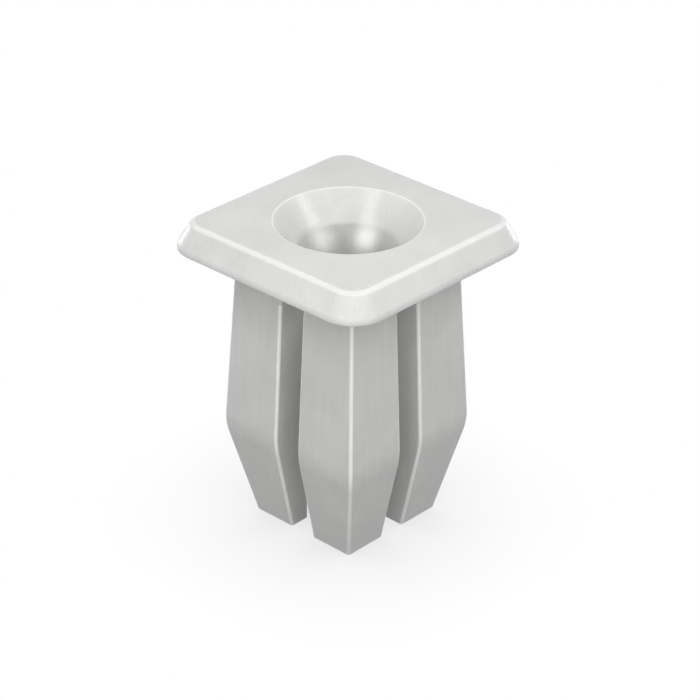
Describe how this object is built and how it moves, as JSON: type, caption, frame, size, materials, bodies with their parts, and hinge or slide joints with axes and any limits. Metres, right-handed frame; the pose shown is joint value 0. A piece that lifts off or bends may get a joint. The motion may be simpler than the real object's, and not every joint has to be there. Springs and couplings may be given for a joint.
{
  "type": "nylon nut",
  "caption": "Moulded snap-in nut with a square bevelled head, a countersunk screw hole and a square shank slotted into springy legs that lock in a square panel hole.",
  "frame": {"origin": "on the screw hole's axis, in the plane of the head's underside, where the nut seats on the panel", "axes": "+Z along the screw hole, out of the head; X and Y across the flats of the head and shank"},
  "size_m": [0.016, 0.016, 0.0206],
  "materials": {
    "nylon": "satin, as moulded"
  },
  "bodies": {
    "root": {"nut": "nylon"}
  },
  "joints": []
}
